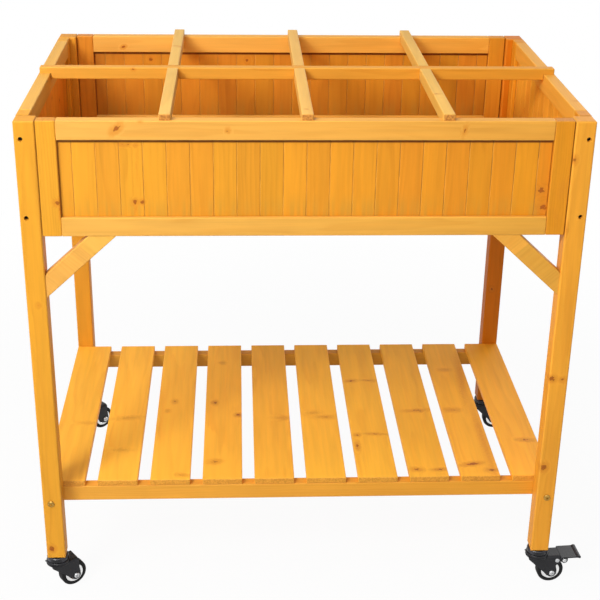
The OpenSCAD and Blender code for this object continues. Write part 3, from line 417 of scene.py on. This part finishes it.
# knots: (place along the grain, place across it, half length, half width, all in mm,
# tilt in degrees, how dark it is)
knotsSeen = {
    "front_rails": [(-314.7, 926.3, 8.4, 4.4, 42, 0.86), (-309.0, 930.5, 3.0, 1.6, 42, 0.9),
                    (-275.0, 938.0, 3.4, 2.2, 0, 0.56), (-131.5, 923.0, 3.4, 3.2, 0, 0.7),
                    (261.4, 924.0, 2.6, 7.0, -14, 0.74)],
    "front_boards": [(896.7, -306.8, 2.8, 4.8, 10, 0.74), (896.7, -296.9, 2.0, 4.2, -8, 0.7),
                     (895.8, -284.6, 2.6, 3.0, 0, 0.72), (795.8, -289.3, 4.2, 3.8, 0, 0.95),
                     (796.6, -276.7, 3.2, 3.4, 0, 0.92), (785.0, -288.0, 7.0, 2.0, 8, 0.62),
                     (858.0, -285.0, 26.0, 3.0, 2, 0.3), (815.8, 400.7, 5.0, 5.6, 0, 0.93),
                     (785.7, 407.0, 4.8, 6.0, 0, 0.94)],
    "front_stiles": [(797.9, -418.2, 4.0, 4.6, 0, 0.86), (790.0, -415.0, 14.0, 1.6, 4, 0.7),
                     (820.0, 436.0, 16.0, 8.0, 18, 0.42), (770.0, 430.0, 22.0, 5.0, -12, 0.36)],
    "leg_front_right": [(873.7, 448.8, 5.4, 4.6, 0, 0.82), (457.2, 452.0, 4.8, 5.6, 0, 0.9),
                        (455.0, 472.0, 4.0, 4.4, 0, 0.74), (269.2, 455.2, 6.4, 5.6, 10, 0.88),
                        (747.0, 449.5, 9.0, 2.4, 0, 0.66)],
    "leg_front_left": [(101.3, -472.5, 5.2, 4.8, 0, 0.96), (610.0, -462.0, 3.4, 3.0, 0, 0.62)],
    "leg_rear_right": [(368.0, 460.0, 4.0, 3.5, 0, 0.8)],
    "rear_boards": [(891.0, -296.0, 4.6, 4.0, 0, 0.86), (889.0, -95.0, 4.6, 4.0, 0, 0.8),
                    (858.0, -215.0, 30.0, 7.0, 6, 0.46), (842.0, 150.0, 34.0, 6.0, -4, 0.44)],
    "shelf_slats": [
        (252.7, -426.5, 5.2, 14, 5, 0.48), (271.6, -344.2, 6.5, 20, -6, 0.52),
        (145.3, -346.2, 5.2, 16, 4, 0.46), (338.7, -250.8, 6.5, 4.4, 0, 0.7),
        (51.3, -225.7, 4.4, 9, 10, 0.64), (299.2, -263.6, 5.5, 3.8, 0, 0.6),
        (332.7, -166.6, 7.0, 5, 0, 0.8), (279.5, -117.7, 5.7, 6, 0, 0.84),
        (97.8, -163.1, 5.7, 9, -10, 0.68), (514.8, -151.4, 5.7, 6, 0, 0.56),
        (265.2, -25.6, 6.0, 14, 4, 0.56), (284.8, 37.5, 5.7, 12, -4, 0.54),
        (267.6, 61.4, 5.5, 15, 3, 0.62), (424.3, 128.3, 4.4, 10, -8, 0.76),
        (425.9, 165.7, 3.9, 12, 8, 0.66), (193.4, 121.3, 4.4, 5, 0, 0.74),
        (196.5, 158.0, 3.6, 17, 5, 0.68), (150.6, 118.6, 11.7, 3.6, 0, 0.78),
        (291.1, 253.7, 4.4, 16, -5, 0.74), (288.0, 262.0, 3.9, 4, 0, 0.8),
        (60.9, 225.8, 5.2, 9, 8, 0.76), (59.9, 270.2, 4.4, 12, -4, 0.78),
        (472.3, 342.0, 5.7, 9, 0, 0.6), (425.0, 371.0, 78.0, 7, 5, 0.56),
        (170.0, 373.0, 117.0, 6, 0, 0.54), (291.8, 329.6, 6.5, 14, 0, 0.64),
        (78.4, 335.5, 4.9, 14, -12, 0.88), (55.8, 370.6, 5.5, 8, 0, 0.8),
        (166.7, 457.9, 5.2, 12, 4, 0.72)],
    "long_divider": [(-308.0, 948.0, 2.4, 2.0, 0, 0.9)],
}


def timberCut(nodeName):
    # grain direction, width direction and the spacing of the boards in one node
    cut = {
        "seed": sum(map(ord, nodeName)) % 97 * 31.0,  # the same for a piece in each run
        "sort": sortOf.get(nodeName, "honey"),
        "tone": toneOf.get(nodeName, 1.0),
        "laterTone": laterToneOf.get(nodeName, 1.0),
        "drift": driftOf.get(nodeName, "stainDrift"),
        "endSoak": endSoakOf.get(nodeName, 0.2),
        "edgeWear": 0.15,
        "seams": False,
        "corners": (),
    }
    alongX, alongY, alongZ = range(3)
    side = nodeName.split("_")[0] in ("left", "right")
    flat, deep = (alongY, alongX) if side else (alongX, alongY)
    if nodeName.startswith("leg_"):
        ways = (alongZ, alongX, alongY)
    elif nodeName.startswith("brace_"):
        ways = (alongX, alongZ, alongY)
        cut["lean"] = math.radians(-braceLean if nodeName.endswith("left") else braceLean)
    elif nodeName in ("floor_boards", "shelf_slats") or nodeName.startswith("cross_divider"):
        ways = (alongY, alongX, alongZ)
    elif nodeName.endswith(("_stiles", "_boards")):
        ways = (alongZ, flat, deep)
    elif nodeName in ("shelf_rails", "floor_cleats"):
        ways = (alongX, alongY, alongZ)
    elif nodeName.endswith("_rails"):
        ways = (flat, alongZ, deep)
    else:
        ways = (alongX, alongZ, alongY)
    cut["along"], cut["across"], cut["through"] = ways
    low, high = nodeSpan(nodeName, ways[1])
    cut["first"], cut["pitch"] = low - sawAllowance, high - low + 2 * sawAllowance
    cut["faces"] = nodeSpan(nodeName, ways[2])
    cut["shownFace"] = cut["faces"][1] if ways[2] == alongZ else cut["faces"][0]
    if nodeName.endswith("_boards") and nodeName != "floor_boards":
        middle = (low + high) / 2
        pitch = panelFrame["boardPitch"]
        cut.update(first=middle - boardsOutside * pitch, pitch=pitch, seams=True, edgeWear=0.35)
        panel = nodeName.replace("_boards", "")
        footOfPanel, topOfPanel = nodeSpan(panel + "_rails", alongZ)
        leftSide, rightSide = nodeSpan(panel + "_stiles", flat)
        cut["foot"] = footOfPanel + panelFrame["railHeight"]
        cut["corners"] = (  # painted shade lines: direction, edge in mm, way inward, full width and whole width in mm, depth
            ("along", topOfPanel - panelFrame["railHeight"], -1, 4.4, 6.8, 0.85),
            ("along", cut["foot"], 1, 0.4, 1.6, 0.3),
            ("across", leftSide + panelFrame["stileWidth"], 1, 1.2, 3.2, 0.75),
            ("across", rightSide - panelFrame["stileWidth"], -1, 1.0, 2.4, 0.7))
        if panel != "front":  # inside the box, painted shade lies darkest at the foot and at the left side
            cut["corners"] += (("along", cut["foot"], 1, -20.0, 105.0, 0.34),
                              ("across", leftSide + panelFrame["stileWidth"], 1, -30.0, 90.0, 0.3))
    elif nodeName.endswith(("_stiles", "_rails")):
        cut["pitch"] = (high - low + 2 * sawAllowance) / 2  # two of them in a node
        if nodeName.endswith("_stiles"):  # painted shade in the joints where they meet the legs
            cut["corners"] = (("across", low, 1, 0.5, 1.8, 0.5), ("across", high, -1, 0.7, 2.4, 0.8))
    elif nodeName == "floor_boards":
        cut["pitch"] = (high - low + floorLayout["gap"]) / floorLayout["boards"]
    elif nodeName == "shelf_slats":
        gap = shelfLayout["gap"]
        cut["first"], cut["pitch"] = low - gap / 2, (high - low + gap) / shelfLayout["slats"]
    return cut


timbers = [name for name in nodes if name.startswith(("leg_", "brace_", "cross_divider", "long_divider"))
           or name.endswith(("_rails", "_stiles", "_boards", "_cleats", "_slats"))]
for timber in timbers:
    cut = timberCut(timber)
    if timber in knotsSeen:
        knots = [knot + (cut["shownFace"],) for knot in knotsSeen[timber]]
    elif "lean" in cut:
        knots = []  # the braces are clear wood
    else:
        lengthwise, sideways = nodeSpan(timber, cut["along"]), nodeSpan(timber, cut["across"])
        knots = scatterKnots(int(cut["seed"]), (lengthwise[0], sideways[0]), (lengthwise[1], sideways[1]),
                             cut["faces"], 8 if timber.endswith("_boards") else 2)
    dress(timber, stainedFir("stainedFir_" + timber, cut, knots))
print("timber stained:", len(timbers), "nodes")


coatFinish = {
    "dust": "#1D1D21",        # where dust greys the coat
    "specular": 0.3,          # a satin coat, not a glossy one
    "peelWidth": 1.6,         # mm; coarser than real, so that it shows
    "peelHeight": 0.15,       # mm
    "dustWidth": 14.0,        # mm
}


def powderCoatedSteel(name, roughness=0.42, edge="#1D1D21", colour="#121215"):
    # Pressed steel under black powder coat: satin black with a faint orange peel, rubbed at its edges;
    # lighter edges are partly a painted highlight.
    finish = coatFinish
    material, tree, shader = newMaterial(name, IOR=1.5, Roughness=roughness,
                                         Specular_IOR_Level=finish["specular"])
    place = placeInMillimetres(tree)
    peel = addNode(tree, "TexNoise", {"Vector": place, "Scale": 1 / finish["peelWidth"], "Detail": 1.0})
    dust = addNode(tree, "TexNoise", {"Vector": place, "Scale": 1 / finish["dustWidth"], "Detail": 4.0})
    dustShare = addNode(tree, "MapRange", {0: dust, 1: 0.35, 2: 0.75, 4: 0.8})
    dusty = addNode(tree, "Mix", {0: dustShare, 6: hexToLinear(colour), 7: hexToLinear(finish["dust"])},
                    data_type="RGBA").outputs[2]
    # rounded edges are the faces that look along none of the three directions
    normal = addNode(tree, "NewGeometry").outputs["True Normal"]
    onEdge = addNode(tree, "MapRange", {0: edgeFinder(tree, normal)[1], 1: 0.93, 2: 0.75})
    shown = addNode(tree, "Mix", {0: onEdge, 6: dusty, 7: hexToLinear(edge)}, data_type="RGBA").outputs[2]
    tree.links.new(shown, shader.inputs["Base Color"])
    bump = addNode(tree, "Bump", {"Height": peel, "Strength": 0.2, "Distance": finish["peelHeight"] * mm})
    tree.links.new(bump.outputs[0], shader.inputs["Normal"])
    return material


mouldFinish = {
    "dust": "#171615",
    "roughness": 0.62,
    "gritWidth": 0.9,         # mm; coarser than real, so that it shows
    "gritHeight": 0.2,        # mm
    "dustWidth": 9.0,         # mm
}


def mouldedRubber(name, colour="#111112", specular=0.2):
    # Rubber or nylon from a mould: matt black with a fine grit that catches dust.
    finish = mouldFinish
    material, tree, shader = newMaterial(name, IOR=1.5, Roughness=finish["roughness"],
                                         Specular_IOR_Level=specular)
    place = placeInMillimetres(tree)
    grit = addNode(tree, "TexNoise", {"Vector": place, "Scale": 1 / finish["gritWidth"], "Detail": 2.0})
    dust = addNode(tree, "TexNoise", {"Vector": place, "Scale": 1 / finish["dustWidth"], "Detail": 4.0})
    dustShare = addNode(tree, "MapRange", {0: dust, 1: 0.4, 2: 0.8, 4: 0.7})
    shown = addNode(tree, "Mix", {0: dustShare, 6: hexToLinear(colour),
                                  7: hexToLinear(finish["dust"])}, data_type="RGBA").outputs[2]
    tree.links.new(shown, shader.inputs["Base Color"])
    bump = addNode(tree, "Bump", {"Height": grit, "Strength": 0.35, "Distance": finish["gritHeight"] * mm})
    tree.links.new(bump.outputs[0], shader.inputs["Normal"])
    return material


def platedSteel(name, bright, dull, roughness, cloudWidth=5.0):
    # Electroplated steel: metallic, with soft cloudy patches (mm wide) where the plating is thinner.
    material, tree, shader = newMaterial(name, Metallic=1.0, Roughness=roughness)
    place = placeInMillimetres(tree)
    clouds = addNode(tree, "TexNoise", {"Vector": place, "Scale": 1 / cloudWidth, "Detail": 3.0})
    share = addNode(tree, "MapRange", {0: clouds, 1: 0.35, 2: 0.7})
    colour = addNode(tree, "Mix", {0: share, 6: hexToLinear(bright), 7: hexToLinear(dull)},
                     data_type="RGBA").outputs[2]
    tree.links.new(colour, shader.inputs["Base Color"])
    gloss = addNode(tree, "MapRange", {0: clouds, 3: roughness - 0.06, 4: roughness + 0.08})
    tree.links.new(gloss.outputs[0], shader.inputs["Roughness"])
    return material


blackCoat = powderCoatedSteel("powderCoatedSteel")
pedalCoat = powderCoatedSteel("rubbedPowderCoat", 0.34, "#4A4A50", "#08080B")  # shoes wore its edges grey, and the grey edges are also a painted highlight for their glints
cupCoat = powderCoatedSteel("glossPowderCoat", 0.24, "#3A3A40")                # round and glossy
tyreRubber = mouldedRubber("mouldedTyreRubber")
shoeRubber = mouldedRubber("mouldedShoeRubber", "#141415")                     # a little greyer
hubPlastic = mouldedRubber("mouldedNylon", "#141417", 0.3)                     # a little more shine
brightZinc = platedSteel("zincPlatedSteel", "#DADADA", "#A9ABAD", 0.28)        # light grey, half bright
ringPlating = platedSteel("nickelPlatedRing", "#F0F0EE", "#D2D3D4", 0.14)      # nearly a mirror
yellowZinc = platedSteel("yellowPassivatedSteel", "#C9A04E", "#8E6A33", 0.36, 3.0)  # golden to brown
blackZinc = platedSteel("blackPassivatedSteel", "#2E2C2A", "#151414", 0.38, 2.0)    # near black, dull

# the first entry that a piece's name begins with counts
finishOf = {
    "fork_": blackCoat,
    "pedal_": pedalCoat,
    "caster_stems": cupCoat,
    "tyre_": tyreRubber,
    "shoe_rivet_": brightZinc,
    "shoe_": shoeRubber,
    "hub_": hubPlastic,
    "trim_": ringPlating,
    "axle_": brightZinc,
    "stem_inserts": brightZinc,
    "swivel_balls": brightZinc,
    "shelf_fixings": yellowZinc,
    "wood_screws": blackZinc,
}
for name in nodes:
    finish = next((finishOf[start] for start in finishOf if name.startswith(start)), None)
    if finish:
        dress(name, finish)
print("casters and fasteners finished")


cameraPlace = {
    "fromMiddle": -115.2,      # mm along the width
    "fromFrontLegs": -2023.8,  # mm, before the front legs' faces
    "aboveFloor": 1537.7,      # mm
    "pitchDown": 24.42,        # degrees
    "turnRight": 3.02,         # degrees
    "roll": 0.93,              # degrees
    "lens": 76.38,             # mm
    "sensor": 36.0,            # mm
}
cameraData = bpy.data.cameras.new("photoCamera")
cameraData.lens = cameraPlace["lens"]
cameraData.sensor_width = cameraPlace["sensor"]
photoCamera = bpy.data.objects.new("photoCamera", cameraData)
bpy.context.scene.collection.objects.link(photoCamera)
photoCamera.matrix_world = (
    Matrix.Translation((planterMiddle[0] + cameraPlace["fromMiddle"] * mm,
                        planterMiddle[1] + cameraPlace["fromFrontLegs"] * mm,
                        cameraPlace["aboveFloor"] * mm))
    @ Matrix.Rotation(math.radians(-cameraPlace["turnRight"]), 4, "Z")
    @ Matrix.Rotation(math.radians(90 - cameraPlace["pitchDown"]), 4, "X")
    @ Matrix.Rotation(math.radians(cameraPlace["roll"]), 4, "Z"))
bpy.context.scene.camera = photoCamera
print("camera placed")


studio = {
    "floor": "#CFCFCF",
    "floorSize": 24.0,         # m
    "floorGrain": 3.0,         # mm; tooth of the paper, coarser than real so that it shows
    "whiteNear": 0.95,         # share of plain white in the floor beside the planter
    "whiteFrom": (0.7, 2.0),   # m from the middle: where it begins to rise, and where all is white
    "worldStrength": (0.16, 0.5),  # from the right, where a black screen stands, and from the left
    "worldTurn": 0.8,          # how far to either side the world changes from one to the other
    "behindLegs": 0.32,        # m from the front legs' faces to the planter's middle
    "aimHeight": 0.6,          # m; where the lamps point
    "lamps": [
        # name, place from the floor under the planter's middle (m), size (m), power (W)
        ("softboxLeft", (-1.6, -2.0, 2.45), 0.9, 66.0),
        ("softboxFront", (-0.3, -2.9, 2.1), 1.8, 28.0),
        ("softboxTop", (-0.8, -0.5, 2.9), 1.4, 18.0),
        ("softboxBehind", (2.1, 2.3, 1.5), 1.6, 26.0),
    ],
}


def backgroundShare(tree):
    # 1 where the eye meets the background, also in a reflection; 0 where it lights the planter
    rays = addNode(tree, "LightPath").outputs
    seen = addNode(tree, "Math", {0: rays["Is Camera Ray"], 1: rays["Is Glossy Ray"]}, operation="MAXIMUM")
    return addNode(tree, "Math", {0: seen, 1: rays["Is Transmission Ray"]}, operation="MAXIMUM")


def whiteFloor():
    # Seamless studio paper: matt white that keeps only a soft shadow.
    material, tree, shader = newMaterial("studioPaper", Roughness=0.9)
    shader.inputs["Base Color"].default_value = hexToLinear(studio["floor"])
    grain = addNode(tree, "TexNoise", {
        "Vector": placeInMillimetres(tree), "Scale": 1 / studio["floorGrain"], "Detail": 2.0})
    bump = addNode(tree, "Bump", {"Height": grain, "Strength": 0.05, "Distance": 0.1 * mm})
    tree.links.new(bump.outputs[0], shader.inputs["Normal"])
    # to the eye the paper is nearly all white beside the planter, and pure white farther out
    away = addNode(tree, "VectorMath", {0: addNode(tree, "TexCoord").outputs["Object"]},
                   operation="LENGTH").outputs["Value"]
    rises, allWhite = studio["whiteFrom"]
    whiteness = addNode(tree, "MapRange", {0: away, 1: rises, 2: allWhite, 3: studio["whiteNear"], 4: 1.0},
                        interpolation_type="SMOOTHSTEP")
    share = addNode(tree, "Math", {0: backgroundShare(tree), 1: whiteness}, operation="MULTIPLY")
    white = addNode(tree, "Emission", {"Color": (1, 1, 1, 1), "Strength": 1.0})
    chosen = addNode(tree, "MixShader", {0: share, 1: shader, 2: white})
    tree.links.new(chosen.outputs[0], tree.nodes["Material Output"].inputs["Surface"])
    return material


floorMesh = bpy.data.meshes.new("studioFloor")
reach = studio["floorSize"] / 2
floorMesh.from_pydata([(-reach, -reach, 0), (reach, -reach, 0), (reach, reach, 0), (-reach, reach, 0)],
                      [], [(0, 1, 2, 3)])
studioFloor = bpy.data.objects.new("studioFloor", floorMesh)
studioFloor.data.materials.append(whiteFloor())
bpy.context.scene.collection.objects.link(studioFloor)

world = bpy.data.worlds.new("studioWorld")
bpy.context.scene.world = world
world.use_nodes = True
sky = world.node_tree
sky.nodes.clear()
direction = addNode(sky, "SeparateXYZ", {0: addNode(sky, "TexCoord").outputs["Generated"]})
rightStrength, leftStrength = studio["worldStrength"]
glow = addNode(sky, "MapRange", {
    0: direction.outputs[0], 1: -studio["worldTurn"], 2: studio["worldTurn"],
    3: leftStrength, 4: rightStrength})
lighting = addNode(sky, "Background", {"Color": (1, 1, 1, 1), "Strength": glow})
backdrop = addNode(sky, "Background", {"Color": (1, 1, 1, 1), "Strength": 1.0})
chosen = addNode(sky, "MixShader", {0: backgroundShare(sky), 1: lighting, 2: backdrop})
addNode(sky, "OutputWorld", {"Surface": chosen})

underMiddle = Vector((planterMiddle[0], planterMiddle[1] + studio["behindLegs"], 0))
target = underMiddle + Vector((0, 0, studio["aimHeight"]))
for lampName, place, size, power in studio["lamps"]:
    lampData = bpy.data.lights.new(lampName, "AREA")
    lampData.shape = "SQUARE"
    lampData.size = size
    lampData.energy = power
    lamp = bpy.data.objects.new(lampName, lampData)
    lamp.location = underMiddle + Vector(place)
    lamp.rotation_euler = (target - lamp.location).to_track_quat("-Z", "Y").to_euler()
    bpy.context.scene.collection.objects.link(lamp)

bpy.context.scene.view_settings.view_transform = "Standard"
print("studio lit")
